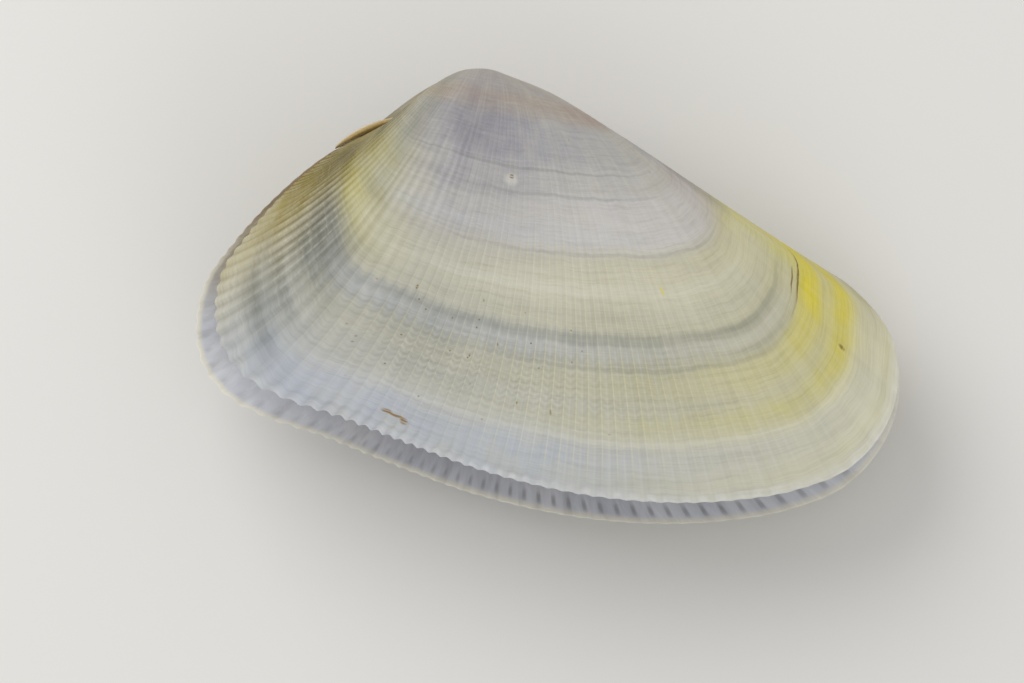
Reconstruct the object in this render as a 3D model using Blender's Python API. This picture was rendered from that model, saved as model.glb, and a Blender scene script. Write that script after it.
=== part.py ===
"""A coquina clam shell: two ribbed valves, slightly agape, and the short ligament behind their beaks.

Each valve is built the way it grew. Its edge is a flat outline through the beak. An earlier edge is the same
outline, smaller and turned about the hinge line, so the edges of all ages sweep out a coiled, hollow cap.
Hinge frame, in metres: X along the hinge line towards the front (anterior) end, Y towards the back (dorsal)
edge, Z away from the plane where the two valves would meet, on the right valve's side.
"""

import math

import bmesh
import bpy
import numpy as np
from mathutils import Euler, Matrix, Vector

MM = 0.001

# Edge of the right valve from the beak round the front end and back: X and Y in mm, the width of one rib
# along the edge in mm, the height of a rib from groove to crest in mm, and the rib's lean in mm: how much
# nearer the front, along a full-sized edge, its line would start at the beak.
OUTLINE = (
    (0.00, -0.15, 1.40, 0.00, 0.0),
    (3.10, -0.82, 1.60, 0.00, 0.0),
    (6.60, -1.75, 1.60, 0.00, 0.0),
    (9.60, -2.72, 1.40, 0.00, 0.2),
    (11.80, -3.60, 1.00, 0.00, 0.5),
    (12.90, -4.60, 0.80, 0.00, 0.8),
    (13.38, -6.20, 0.80, 0.00, 1.1),
    (13.18, -7.45, 0.80, 0.00, 1.3),
    (12.35, -8.80, 0.72, 0.01, 1.5),
    (11.05, -9.68, 0.62, 0.02, 1.7),
    (9.05, -10.45, 0.54, 0.04, 1.9),
    (5.90, -11.05, 0.49, 0.05, 2.5),
    (2.30, -11.05, 0.41, 0.06, 2.9),
    (-0.90, -10.56, 0.36, 0.08, 3.1),
    (-2.45, -10.27, 0.42, 0.11, 3.2),
    (-4.10, -10.06, 0.59, 0.14, 3.4),
    (-5.35, -9.66, 0.63, 0.15, 3.7),
    (-6.20, -8.87, 0.49, 0.14, 4.3),
    (-6.57, -7.70, 0.41, 0.12, 5.1),
    (-6.50, -6.60, 0.45, 0.11, 5.8),
    (-6.02, -5.55, 0.38, 0.10, 6.0),
    (-5.20, -4.15, 0.38, 0.08, 5.6),
    (-3.65, -2.30, 0.50, 0.03, 4.0),
    (-1.30, -0.86, 0.90, 0.00, 1.2),
)
LEAN_EASE = 0.35  # the ribs lean less towards the beak by this much
CURVE_STEPS = 24  # points on the curve between two outline points
LEFT_TO_RIGHT = 1.025  # the left valve's edge stands a little outside the right valve's

# Coiling of the valve about the hinge line, from the edge (angle 0) back to the beak.
COIL_RATE = 0.828  # how fast the outline shrinks, per radian turned, next to the edge
COIL_EASE = 0.106  # the coil tightens towards the beak by this much
YOUNG_SHORTER = 0.27  # a young shell is shorter at both ends than the grown one
YOUNG_KEPT = 0.20  # but keeps its depth below the beak
YOUNG_ANGLE = 1.65
YOUNG_SPREAD = 0.45
OUTER_TURNS = (0.0, 8.0, 17.0, 28.0, 41.0, 56.0, 72.0)  # degrees, every rib modelled
BEAK_TURNS = (90.0, 110.0, 132.0)  # degrees, ribs too fine to model
CAVITY_TURNS = (6.0, 20.0, 38.0, 56.0, 72.0)

# Wall of a valve.
EDGE_WALL = 0.34 * MM
BODY_WALL = 0.80 * MM
WALL_GROWS_BY = math.radians(50.0)  # turned through before the wall has its full thickness
HINGE_PLATE = 1.00 * MM  # extra depth of shell under the beak
HINGE_REACH = 3.20 * MM
CAVITY_CENTRE = (3.2 * MM, 6.2 * MM)  # along the hinge line and below it

# Ligament, a short arched band on the back edge behind the beaks.
LIGAMENT_START = (-1.75 * MM, -1.13 * MM)
LIGAMENT_END = (-3.80 * MM, -2.42 * MM)
LIGAMENT_HEIGHT = 0.32 * MM
LIGAMENT_WIDTH = 1.00 * MM
LIGAMENT_LIFT = 0.05 * MM  # clear of the valves' edges
LIGAMENT_SECTIONS = 9
LIGAMENT_SIDES = 12

# How the shell lies: agape about the hinge line, then on the outside of its left valve.
GAPE = math.radians(17.0)
LIE_ROLL = math.radians(-0.9)
LIE_PITCH = math.radians(5.7)
LIE_YAW = math.radians(-4.3)
REST_SPOT_DEPTH = 0.06 * MM  # the outermost ribs are worn flat where the shell lies

SHELL_COLOUR = (0.78, 0.76, 0.66, 1.0)
INSIDE_OUT_COLOUR = (0.74, 0.72, 0.66, 1.0)
LIGAMENT_COLOUR = (0.42, 0.27, 0.10, 1.0)


def clear_scene():
    for item in list(bpy.data.objects):
        bpy.data.objects.remove(item, do_unlink=True)


def make_material(name, colour, roughness, metallic=0.0):
    material = bpy.data.materials.new(name)
    material.use_nodes = True
    shader = material.node_tree.nodes["Principled BSDF"]
    shader.inputs["Base Color"].default_value = colour
    shader.inputs["Roughness"].default_value = roughness
    shader.inputs["Metallic"].default_value = metallic
    material.diffuse_color = colour
    return material


def outline_curve():
    """The edge as a smooth curve from the beak round to the beak: rows as in OUTLINE."""
    rows = np.array(OUTLINE + OUTLINE[:1])
    chord = np.hypot(*np.diff(rows[:, :2], axis=0).T)
    along = np.concatenate([[0.0], np.cumsum(chord)])
    slope = np.gradient(rows, along, axis=0)
    curve = []
    for i, length in enumerate(chord):
        for t in np.arange(CURVE_STEPS) / CURVE_STEPS:
            start = (1 + 2 * t) * (1 - t) ** 2 * rows[i] + t * (1 - t) ** 2 * length * slope[i]
            end = t * t * (3 - 2 * t) * rows[i + 1] + t * t * (t - 1) * length * slope[i + 1]
            curve.append(start + end)
    return np.array(curve + [rows[-1]])


def size_at(turn):
    """Size of the edge, against the grown one, at an angle back along the coil."""
    shrunk = (1 - math.sqrt(1 - 4 * COIL_EASE * COIL_RATE * turn)) / (2 * COIL_EASE)
    return math.exp(-shrunk)


def edge_columns(turn):
    """Two columns to a rib, crest and groove in turn, where the ribs stand on the edge at an angle back along
    the coil: places in metres, outward directions and rib heights."""
    curve = outline_curve()
    step = np.hypot(*np.diff(curve[:, :2], axis=0).T)
    along = np.concatenate([[0.0], np.cumsum(step)])
    ribs = np.concatenate([[0.0], np.cumsum(step / (0.5 * (curve[1:, 2] + curve[:-1, 2])))])
    count = 2 * round(ribs[-1])
    grown = np.interp(np.arange(count) * ribs[-1] / count, ribs, along)
    younger = 1 - size_at(turn)
    wanted = grown - np.interp(grown, along, curve[:, 4]) * younger * (1 - LEAN_EASE * younger)
    x, y, height = (np.interp(wanted, along, curve[:, k]) for k in (0, 1, 3))
    tangent = np.column_stack([np.roll(x, -1) - np.roll(x, 1), np.roll(y, -1) - np.roll(y, 1)])
    tangent /= np.hypot(*tangent.T)[:, None]
    outward = np.column_stack([-tangent[:, 1], tangent[:, 0]])
    return np.column_stack([x, y]) * MM, outward, np.maximum(height, 0.0) * MM


def coil(places, turn):
    """Carry edge places, as x and y in the edge's plane, back along the coil by an angle."""
    size = size_at(turn)
    bearing = np.arctan2(-places[:, 1], places[:, 0])
    young = YOUNG_KEPT * np.exp(-(((bearing - YOUNG_ANGLE) / YOUNG_SPREAD) ** 2)) - YOUNG_SHORTER
    scale = size * (1 + (1 - size) * young)
    return np.column_stack([places[:, 0] * scale, places[:, 1] * scale])


def turned(places, turn):
    """Points of the hinge frame for places in the half plane at an angle about the hinge line."""
    return np.column_stack([places[:, 0], places[:, 1] * math.cos(turn), -places[:, 1] * math.sin(turn)])


def outer_ring(turn, ribbed):
    places, outward, height = edge_columns(turn)
    if ribbed:
        side = np.where(np.arange(len(places)) % 2 == 0, 0.5, -0.5)
        places = places + outward * (height * side)[:, None]
    else:
        places = places[::2]
    return turned(coil(places, turn), turn)


def inner_ring(turn):
    """The cavity's ring: the outer one drawn in by the wall, and by the hinge plate near the beak."""
    places = coil(edge_columns(turn)[0][::2], turn)
    size = size_at(turn)
    centre = np.array([CAVITY_CENTRE[0], -CAVITY_CENTRE[1]]) * size
    inward = centre - places
    reach = np.hypot(*inward.T)
    grown = min(1.0, turn / WALL_GROWS_BY)
    wall = EDGE_WALL + (BODY_WALL - EDGE_WALL) * grown
    plate = HINGE_PLATE * size * np.exp(-((np.hypot(*places.T) / (HINGE_REACH * size)) ** 2))
    places = places + inward * ((wall + plate) / reach)[:, None]
    return turned(places, turn)


def join_rings(bm, first, second):
    """Faces from one closed ring to the next. The second may have half the columns of the first."""
    if len(first) == len(second):
        for j in range(len(first)):
            k = (j + 1) % len(first)
            bm.faces.new((first[j], first[k], second[k], second[j]))
        return
    for j in range(len(second)):
        k = (j + 1) % len(second)
        middle = first[2 * j + 1]
        bm.faces.new((first[2 * j], middle, second[j]))
        bm.faces.new((middle, second[k], second[j]))
        bm.faces.new((middle, first[2 * k], second[k]))


def close_ring(bm, ring):
    """Fill a ring with a low fan."""
    middle = bm.verts.new(sum((v.co for v in ring), Vector()) / len(ring))
    for j, vertex in enumerate(ring):
        bm.faces.new((vertex, ring[(j + 1) % len(ring)], middle))


def valve_mesh():
    """The right valve in the hinge frame, before it is opened."""
    bm = bmesh.new()

    def add(points):
        return [bm.verts.new(point) for point in points]

    outer = [add(outer_ring(math.radians(t), True)) for t in OUTER_TURNS]
    outer += [add(outer_ring(math.radians(t), False)) for t in BEAK_TURNS]
    inner = [add(inner_ring(0.0))]
    inner += [add(inner_ring(math.radians(t))) for t in CAVITY_TURNS]
    for first, second in zip(outer, outer[1:]):
        join_rings(bm, first, second)
    close_ring(bm, outer[-1])
    join_rings(bm, outer[0], inner[0])
    for first, second in zip(inner, inner[1:]):
        join_rings(bm, first, second)
    close_ring(bm, inner[-1])
    bmesh.ops.triangulate(bm, faces=bm.faces[:])
    return bm


def ligament_mesh():
    """A band pointed at both ends, flat below and arched above, along the back edge."""
    start = np.array(LIGAMENT_START)
    end = np.array(LIGAMENT_END)
    along = (end - start) / np.linalg.norm(end - start)
    up = np.array([along[1], -along[0]])
    bm = bmesh.new()
    rings = []
    for i in range(LIGAMENT_SECTIONS):
        t = (i + 0.35) / (LIGAMENT_SECTIONS - 0.3)
        fullness = math.sin(math.pi * t) ** 0.6
        foot = start + (end - start) * t + up * LIGAMENT_LIFT
        ring = []
        for j in range(LIGAMENT_SIDES):
            angle = 2 * math.pi * j / LIGAMENT_SIDES
            rise = LIGAMENT_HEIGHT * fullness * (0.5 + 0.5 * math.sin(angle)) ** 0.8
            x, y = foot + up * rise
            z = 0.5 * LIGAMENT_WIDTH * fullness * math.cos(angle)
            ring.append(bm.verts.new((x, y, z)))
        rings.append(ring)
    for first, second in zip(rings, rings[1:]):
        join_rings(bm, first, second)
    close_ring(bm, rings[0])
    close_ring(bm, rings[-1])
    bmesh.ops.triangulate(bm, faces=bm.faces[:])
    return bm


def lying():
    """Rotation from the hinge frame, with the gape shared between the valves, to the shell as it lies."""
    return Euler((LIE_ROLL, LIE_PITCH, LIE_YAW), "XYZ").to_matrix().to_4x4()


def add_object(name, bm, material, sharp=50.0):
    bmesh.ops.recalc_face_normals(bm, faces=bm.faces[:])
    mesh = bpy.data.meshes.new(name)
    bm.to_mesh(mesh)
    bm.free()
    mesh.materials.append(material)
    mesh.shade_smooth()
    mesh.set_sharp_from_angle(angle=math.radians(sharp))
    item = bpy.data.objects.new(name, mesh)
    bpy.context.scene.collection.objects.link(item)
    return item


def flatten_rest_spot(bm, level):
    """Cut off what lies below a level, flat."""
    geometry = bm.verts[:] + bm.edges[:] + bm.faces[:]
    cut = bmesh.ops.bisect_plane(bm, geom=geometry, plane_co=(0, 0, level), plane_no=(0, 0, 1), clear_inner=True)
    rim = [item for item in cut["geom_cut"] if isinstance(item, bmesh.types.BMEdge)]
    filled = bmesh.ops.holes_fill(bm, edges=rim, sides=0)
    bmesh.ops.triangulate(bm, faces=filled["faces"])


def build():
    clear_scene()
    right = valve_mesh()
    left = valve_mesh()
    left.transform(Matrix.Diagonal((LEFT_TO_RIGHT, LEFT_TO_RIGHT, -LEFT_TO_RIGHT, 1.0)))
    band = ligament_mesh()
    right.transform(lying() @ Matrix.Rotation(-0.5 * GAPE, 4, "X"))
    left.transform(lying() @ Matrix.Rotation(0.5 * GAPE, 4, "X"))
    band.transform(lying())

    level = min(v.co.z for v in left.verts) + REST_SPOT_DEPTH
    flatten_rest_spot(left, level)
    points = np.array([v.co for bm in (right, left, band) for v in bm.verts])
    low, high = points.min(axis=0), points.max(axis=0)
    to_origin = Matrix.Translation((-(low[0] + high[0]) / 2, -(low[1] + high[1]) / 2, -low[2]))
    for bm in (right, left, band):
        bm.transform(to_origin)

    add_object("right_valve", right, make_material("right_valve", SHELL_COLOUR, 0.45))
    add_object("left_valve", left, make_material("left_valve", INSIDE_OUT_COLOUR, 0.42))
    add_object("ligament", band, make_material("ligament", LIGAMENT_COLOUR, 0.5))


build()
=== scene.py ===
"""A coquina clam shell, ribbed and banded, lying agape on its left valve on a pale floor."""

import math

import bpy
import numpy as np
from mathutils import Euler, Matrix, Vector


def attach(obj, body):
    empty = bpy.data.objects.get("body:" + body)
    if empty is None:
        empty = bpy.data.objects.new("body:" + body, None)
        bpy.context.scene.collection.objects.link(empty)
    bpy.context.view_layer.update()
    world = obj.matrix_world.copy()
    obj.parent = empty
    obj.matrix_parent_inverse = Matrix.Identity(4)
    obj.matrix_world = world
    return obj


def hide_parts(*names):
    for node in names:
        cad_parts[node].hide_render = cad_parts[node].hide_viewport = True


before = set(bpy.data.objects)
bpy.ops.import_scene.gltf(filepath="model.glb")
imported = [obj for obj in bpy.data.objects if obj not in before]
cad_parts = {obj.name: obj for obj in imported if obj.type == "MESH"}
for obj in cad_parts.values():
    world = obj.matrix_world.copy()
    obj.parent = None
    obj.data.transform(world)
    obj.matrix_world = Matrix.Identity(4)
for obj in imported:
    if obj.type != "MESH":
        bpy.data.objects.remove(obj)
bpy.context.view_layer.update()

MM = 0.001

# The right valve's edge in the hinge frame, in mm: X forwards along the hinge line, Y towards the back edge,
# and then the width of a rib, its height on the body and at the edge, and its lean to the front at the beak.
OUTLINE = (
    (0.00, -0.15, 1.40, 0.000, 0.000, 0.0),
    (3.10, -0.82, 1.60, 0.000, 0.000, 0.0),
    (6.60, -1.75, 1.60, 0.000, 0.000, 0.0),
    (9.60, -2.72, 1.40, 0.000, 0.000, 0.2),
    (11.80, -3.60, 1.00, 0.000, 0.001, 0.5),
    (12.90, -4.60, 0.80, 0.003, 0.005, 0.8),
    (13.38, -6.20, 0.80, 0.005, 0.011, 1.1),
    (13.18, -7.45, 0.80, 0.008, 0.014, 1.3),
    (12.35, -8.80, 0.72, 0.010, 0.019, 1.5),
    (11.05, -9.68, 0.62, 0.011, 0.025, 1.7),
    (9.05, -10.45, 0.54, 0.012, 0.032, 1.9),
    (5.90, -11.05, 0.49, 0.012, 0.043, 2.5),
    (2.30, -11.05, 0.41, 0.013, 0.060, 2.9),
    (-0.90, -10.56, 0.36, 0.021, 0.110, 3.1),
    (-2.45, -10.27, 0.42, 0.028, 0.122, 3.2),
    (-4.10, -10.06, 0.59, 0.034, 0.126, 3.4),
    (-5.35, -9.66, 0.63, 0.040, 0.126, 3.7),
    (-6.20, -8.87, 0.49, 0.052, 0.118, 4.3),
    (-6.57, -7.70, 0.41, 0.066, 0.102, 5.1),
    (-6.50, -6.60, 0.45, 0.063, 0.088, 5.8),
    (-6.02, -5.55, 0.38, 0.051, 0.066, 6.0),
    (-5.20, -4.15, 0.38, 0.035, 0.032, 5.6),
    (-3.65, -2.30, 0.50, 0.017, 0.011, 4.0),
    (-1.30, -0.86, 0.90, 0.000, 0.000, 1.2),
)
LEAN_EASE = 0.35  # the ribs lean less towards the beak by this much
CURVE_STEPS = 24
LEFT_TO_RIGHT = 1.025  # size of the left valve against the right one

# Coiling of a valve about the hinge line.
COIL_RATE = 0.828
COIL_EASE = 0.106
YOUNG_SHORTER = 0.27
YOUNG_KEPT = 0.20
YOUNG_ANGLE = 1.65
YOUNG_SPREAD = 0.45

# Wall of a valve.
EDGE_WALL = 0.34 * MM
BODY_WALL = 0.80 * MM
WALL_GROWS_BY = math.radians(50.0)
HINGE_PLATE = 1.00 * MM
HINGE_REACH = 3.20 * MM
CAVITY_CENTRE = (3.2 * MM, 6.2 * MM)

# How the shell lies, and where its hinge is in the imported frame.
GAPE = math.radians(17.0)
LYING = Euler((math.radians(-0.9), math.radians(5.7), math.radians(-4.3)), "XYZ").to_matrix()
HINGE = Vector((-2.81127, 5.51168, 4.26537)) * MM
WORN_BELOW = 0.05 * MM  # the outside is worn flat where it lies, and rounded off around that spot
WORN_ROUNDING = 0.01 * MM

# Height of the ribs' ends at the edge of each valve, against what OUTLINE says.
RIGHT_TEETH = 0.75
LEFT_TEETH = 0.50

# Where the ribs change their section: the first four in mm along the edge, the next two in the size of the
# growing shell against the grown one.
KEELED_FROM = (31.0, 35.0)
PAIRED_FROM = (41.5, 43.0)
BOWLED_FROM = (15.5, 19.0)
BOWLED_TO = (37.5, 39.5)
TALLER_FROM = (0.955, 0.995)
SCALLOPED_FROM = (0.975, 0.997)
CUSP_ROUNDING = 0.40

# Low steps where growth paused: size of the shell then, and strength.
PAUSES = ((0.907, 0.3), (0.788, 0.5), (0.740, 1.0), (0.602, 0.7), (0.497, 0.5), (0.448, 0.9), (0.33, 0.7))
PAUSE_STEP = 0.022 * MM
PAUSE_FADE = 0.03
PAUSE_NOTCH = 0.004

# Pits between the teeth of the inside's margin: depth, place and width inwards from the edge, and where they
# begin and end, in mm along the edge.
PIT_DEPTH = 0.05 * MM
PIT_INSET = 0.58 * EDGE_WALL
PIT_WIDTH = 0.22 * EDGE_WALL
PITTED_FROM = (17.0, 21.0)
PITTED_TO = (37.5, 41.0)

# Rings of the meshes. Those of the rim give degrees back along the coil, and the inset against EDGE_WALL.
COLUMNS_PER_RIB = 8
EDGE_SIZES = (1.0, 0.9965, 0.993, 0.989, 0.985, 0.98, 0.975, 0.97)
SIZE_STEPS = ((0.9, 0.0058), (0.30, 0.0088), (0.09, 0.013))  # down to a size by a step
RIM = (
    (0.0, 0.04), (0.05, 0.12), (0.2, 0.25), (0.35, 0.34), (0.5, 0.42), (0.75, 0.52), (1.1, 0.65),
    (1.5, 0.76), (1.9, 0.85), (2.8, 1.0), (3.8, 1.08),
)
INSIDE_FROM, INSIDE_TO, INSIDE_RINGS = 5.0, 72.0, 40
ROOF_TURN = 5.0
ROOF_RINGS = (0.25, 0.5, 0.72, 0.88)
OUTSIDE, INSIDE = 0, 1  # material slots of a valve

# Ligament: a short arched band on the back edge behind the beaks, in the hinge frame, in mm.
LIGAMENT_START = np.array([-1.75, -1.13])
LIGAMENT_END = np.array([-3.80, -2.42])
LIGAMENT_HEIGHT = 0.32
LIGAMENT_WIDTH = 1.00
LIGAMENT_LIFT = 0.05
LIGAMENT_HOLLOW = 0.10
LIGAMENT_SECTIONS = 72
LIGAMENT_SIDES = 64

# Colours as display values.
PIGMENTS = {
    "cream": (187, 184, 167),
    "milk": (173, 178, 188),
    "lavender": (150, 149, 156),
    "white": (216, 215, 202),
    "lemon": (200, 193, 108),
    "yellow": (214, 198, 18),
    "smoke": (110, 113, 106),
    "violet": (116, 112, 118),
    "rose": (150, 127, 114),
    "flesh": (150, 139, 124),
    "tan": (138, 123, 46),
    "olive": (84, 72, 8),
    "straw": (160, 153, 92),
    "pearl": (206, 202, 202),
    "soot": (82, 80, 64),
    "edge_frost_and_highlight": (236, 236, 233),
    "bark": (112, 82, 24),
    "ochre": (128, 96, 18),
    "shade": (176, 174, 170),
    "groove": (138, 124, 78),
    "lime": (210, 207, 172),
    # The inside.
    "porcelain": (226, 227, 230),
    "mist": (210, 212, 219),
    "mauve": (184, 172, 188),
    "honey": (214, 196, 160),
    "buff": (176, 160, 118),
    "lip": (232, 228, 212),
    "skin": (128, 100, 50),
    "pit_shade": (110, 110, 104),
    "scar": (222, 214, 206),
    "mantle": (226, 222, 216),
    # The ligament.
    "horn": (206, 188, 152),
    "dry horn": (180, 160, 112),
    "border": (142, 116, 48),
    "tip": (126, 98, 38),
    "crease": (150, 130, 96),
    "floor": (214, 212, 208),
}

# Bands of pigment, one over the other: pigment, strength against growth from the beak (0) to the edge (1),
# and strength against mm along the grown edge, from the beak round the front.
LAYERS = (
    # The body, from the beak to the edge.
    ("flesh", ((0.05, 0.9), (0.24, 0.8), (0.3, 0.6), (0.36, 0)), ((10, 1), (50, 1))),
    ("lavender",
     ((0.18, 0.3), (0.24, 0.5), (0.28, 0.35), (0.31, 0.5), (0.34, 0.95), (0.4, 0.95), (0.44, 0.85),
      (0.47, 0.65), (0.5, 0.75), (0.53, 0.6), (0.56, 0.5), (0.6, 0.35), (0.64, 0.05), (0.68, 0)),
     ((11, 1), (14.5, 0.95), (16, 0.4), (18, 0.5), (21, 0.7), (26, 0.8), (30, 1), (44, 1))),
    ("milk",
     ((0.54, 0), (0.57, 0.35), (0.6, 0), (0.72, 0), (0.74, 0.5), (0.76, 0.6), (0.775, 0.5), (0.79, 0.2),
      (0.82, 0.1), (0.85, 0.3), (0.875, 0.4), (0.9, 0.5), (0.92, 0.75), (0.94, 0.95), (1, 0.85)),
     ((15, 0), (16, 0.15), (19, 0.25), (22, 0.4), (25, 0.75), (28, 1), (37, 1), (40, 0))),
    ("pearl",
     ((0.42, 0), (0.45, 0.2), (0.48, 0.15), (0.5, 0.5), (0.54, 0.6), (0.59, 0.5), (0.61, 0.15),
      (0.63, 0.3), (0.68, 0.2), (0.71, 0)),
     ((11, 0.2), (13.5, 0.2), (14.5, 1), (22, 0.8), (28, 0.5), (33, 0))),
    ("white",
     ((0.64, 0), (0.66, 0.25), (0.69, 0.1), (0.7, 0), (0.89, 0), (0.905, 0.8), (0.93, 0.4),
      (0.965, 0.8), (1, 0.7)),
     ((13, 0.2), (15, 0.8), (17, 1), (19, 0.5), (22, 0.15), (25, 0))),
    ("lemon",
     ((0.58, 0), (0.62, 0.35), (0.68, 0.25), (0.71, 0.15), (0.735, 0.3), (0.76, 0.1), (0.8, 0.55),
      (0.825, 0.55), (0.85, 0.35), (0.875, 0.75), (0.9, 0.45), (0.92, 0.1), (0.95, 0.2),
      (0.975, 0.35), (1, 0.1)),
     ((12, 1), (16, 1), (20, 0.65), (24, 0.5), (28, 0.25), (32, 0.1), (36, 0))),
    ("yellow",
     ((0.785, 0), (0.788, 0.85), (0.81, 1), (0.825, 0.85), (0.84, 0.35), (0.855, 0.35), (0.875, 0.6),
      (0.885, 0.75), (0.91, 0.3), (0.935, 0.1), (0.96, 0)),
     ((12, 1), (14.2, 1), (15.2, 0.8), (16.8, 0.35), (18, 0.12), (22, 0))),
    # Grey bands along the growth lines.
    ("smoke",
     ((0.725, 0), (0.735, 0.35), (0.745, 0.35), (0.757, 0)),
     ((14, 0.2), (18, 0.6), (36, 0.7), (40, 0))),
    ("smoke",
     ((0.765, 0), (0.775, 0.4), (0.79, 0.3), (0.8, 0)),
     ((15.5, 0.2), (18.5, 0.7), (20, 0.4), (24, 0.2), (34, 0.5), (38, 0.3), (40, 0))),
    ("smoke",
     ((0.68, 0), (0.7, 0.12), (0.73, 0.1), (0.76, 0.16), (0.8, 0.2), (0.87, 0.14), (0.9, 0)),
     ((20, 0), (23, 1), (33, 1), (36, 0.3), (38, 0))),
    ("smoke",
     ((0.36, 0), (0.44, 0.2), (0.48, 0.45), (0.52, 0.3), (0.57, 0.35), (0.6, 0.7), (0.63, 0.25),
      (0.66, 0.15), (0.69, 0.6), (0.72, 0.6), (0.74, 0.2), (0.76, 0)),
     ((35.6, 0), (36.4, 0.7), (37, 1), (37.8, 0.7), (38.4, 0.2), (39, 0))),
    ("smoke",
     ((0.6, 0), (0.63, 0.25), (0.7, 0.2), (0.8, 0.3), (0.84, 0.2), (0.89, 0.1), (0.92, 0)),
     ((28, 0), (33, 1), (34.5, 0.6), (36, 1), (38, 0))),
    # Lavender and rose of the older shell, and the yellow and tan front end.
    ("violet",
     ((0.24, 0.3), (0.28, 0.5), (0.33, 0.75), (0.42, 0.7), (0.45, 0.35), (0.5, 0.45), (0.53, 0.2),
      (0.6, 0.25), (0.64, 0)),
     ((26, 0), (30, 0.45), (33, 1), (35, 0.4), (37, 0.4), (38, 0))),
    ("rose",
     ((0.24, 0), (0.27, 0.6), (0.3, 0.8), (0.32, 0.6), (0.345, 0)),
     ((12, 0.6), (15, 1), (17, 1), (20, 0.7), (24, 0.3), (35, 0.3), (37, 0.7), (42, 0.7))),
    ("rose",
     ((0.34, 0.3), (0.4, 0.2), (0.44, 0.1), (0.5, 0.6), (0.54, 0.4), (0.58, 0.5), (0.62, 0.2),
      (0.64, 0)),
     ((12, 1), (14.5, 0.75), (17, 0.15), (19, 0))),
    ("lemon",
     ((0.54, 0), (0.61, 0.6), (0.68, 0.45), (0.79, 0.8), (0.8, 0.3), (0.84, 0)),
     ((10, 1), (13.6, 0.9), (15, 0.4), (17, 0))),
    ("yellow",
     ((0.6, 0), (0.66, 0.35), (0.72, 0.35), (0.79, 0.7), (0.8, 0.2), (0.84, 0)),
     ((10, 1), (12.6, 0.8), (13.6, 0.25), (14.4, 0))),
    ("tan",
     ((0.55, 0), (0.6, 0.5), (0.62, 0.4), (0.66, 0.2), (0.7, 0.1), (0.93, 0.15), (0.97, 0.8)),
     ((11, 0.8), (12.6, 0.7), (13.6, 0))),
    # Behind: grey, straw, tan and olive.
    ("smoke",
     ((0.66, 0), (0.7, 0.15), (0.74, 0.8), (0.775, 1), (0.81, 1), (0.83, 0.6), (0.85, 0.7),
      (0.86, 0.55), (0.875, 0.8), (0.89, 0.7), (0.92, 0.5), (0.95, 0.75), (0.975, 0.5), (1, 0.2)),
     ((35.2, 0), (36.3, 0.3), (37, 0.8), (37.6, 1), (38.4, 1), (39, 0.7), (40, 0))),
    ("straw",
     ((0.26, 0.2), (0.44, 0.4), (0.5, 0.8), (0.56, 0.8), (0.62, 0.9), (0.68, 1), (0.7, 0.6), (0.73, 0)),
     ((33.5, 0), (35.5, 0.3), (37, 0.75), (38, 1), (39.5, 1), (41, 0.3), (43, 0))),
    ("smoke",
     ((0.22, 0), (0.3, 0.7), (0.4, 1), (0.6, 1), (0.64, 0)),
     ((11.5, 0), (13, 0.38), (13.8, 0.38), (14.8, 0))),
    ("tan",
     ((0.14, 0.1), (0.22, 0.3), (0.34, 0.4), (0.42, 0.8), (0.55, 1), (0.84, 1), (0.92, 0.75), (1, 0.5)),
     ((37.6, 0), (39, 0.4), (40, 0.85), (41, 1), (50, 1))),
    ("soot",
     ((0.67, 0), (0.7, 0.35), (0.735, 0.6), (0.77, 0.65), (0.8, 0.2), (0.83, 0.3), (0.86, 0)),
     ((35.8, 0), (36.6, 0.5), (37.4, 0.85), (38.3, 1), (39, 0.7), (39.8, 0.25), (40.6, 0))),
    ("smoke",
     ((0.88, 0), (0.915, 0.4), (0.945, 0.4), (0.965, 0)),
     ((36.6, 0), (37.6, 0.8), (38.6, 0.8), (39.6, 0.5), (40.6, 0.3), (41.5, 0))),
    ("olive",
     ((0.36, 0), (0.4, 0.3), (0.44, 0.8), (0.5, 1), (0.54, 0.7), (0.57, 0.5), (0.62, 0.6), (0.66, 1),
      (0.72, 1), (0.78, 0.65), (0.84, 0.35), (0.92, 0)),
     ((38.2, 0), (39, 0.25), (39.8, 0.5), (41, 0.95), (43.2, 0.8), (44.5, 0.5), (45.5, 0.1), (47, 0))),
    ("smoke",
     ((0.2, 0), (0.26, 0.7), (0.32, 0.8), (0.36, 1), (0.46, 1), (0.5, 0.5), (0.54, 0.5), (0.6, 0.8),
      (0.63, 0)),
     ((36, 0), (37, 0.4), (38, 0.25), (39, 0.15), (40, 0.3), (42, 0.2), (43.5, 0))),
    ("soot",
     ((0.36, 0), (0.44, 0.8), (0.5, 0.8), (0.53, 0)),
     ((39.3, 0), (40, 0.5), (41.6, 0.55), (42.6, 0.3), (43.2, 0))),
    ("flesh",
     ((0.3, 0), (0.4, 0.6), (0.9, 0.6), (1, 0.3)),
     ((44.6, 0), (45.6, 0.7), (47.5, 0.5), (50, 0.3))),
    ("smoke",
     ((0.16, 0.3), (0.2, 0.55), (0.24, 0.6), (0.28, 0.3), (0.31, 0)),
     ((35.5, 0), (38, 0.8), (39, 0.85), (41.5, 0))),
)

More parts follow.
